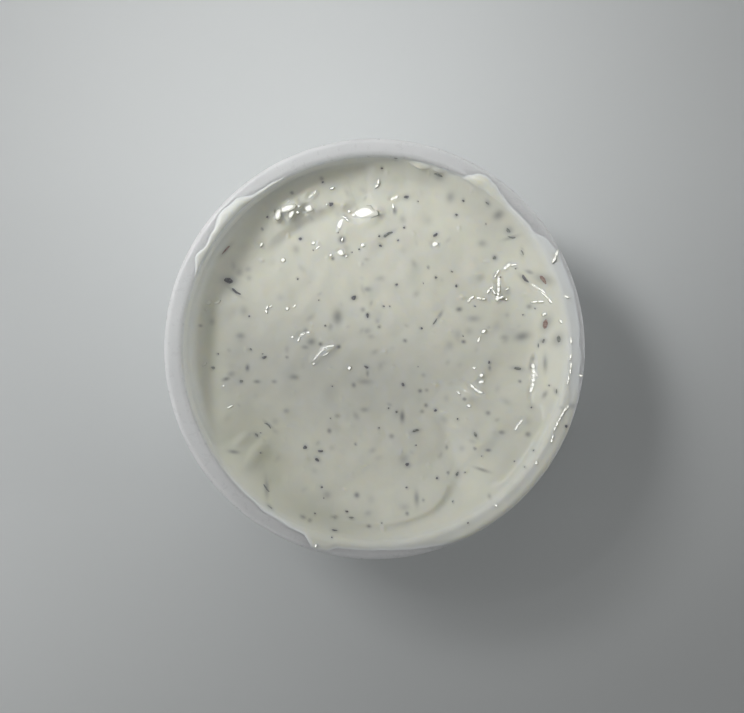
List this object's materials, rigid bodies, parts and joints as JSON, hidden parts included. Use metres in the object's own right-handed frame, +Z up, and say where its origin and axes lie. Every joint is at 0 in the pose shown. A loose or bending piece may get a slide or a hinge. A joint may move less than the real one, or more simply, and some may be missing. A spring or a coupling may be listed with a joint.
{
  "type": "tub of tzatziki dip",
  "caption": "Round open plastic tub with a rolled snap lip, filled with a creamy herb dip that is stirred up against one side.",
  "frame": {"origin": "centre of the tub's footprint, on the plane that its foot ring stands on", "axes": "+Z up along the tub's axis, +Y to the side away from the eater, +X to the eater's right"},
  "size_m": [0.1174, 0.1174, 0.052],
  "materials": {
    "tub_plastic": "white moulded polypropylene, satin",
    "dip_cream": "wet creamy yoghurt with herb flecks"
  },
  "bodies": {
    "root": {"tub": "tub_plastic", "dip": "dip_cream"}
  },
  "joints": []
}
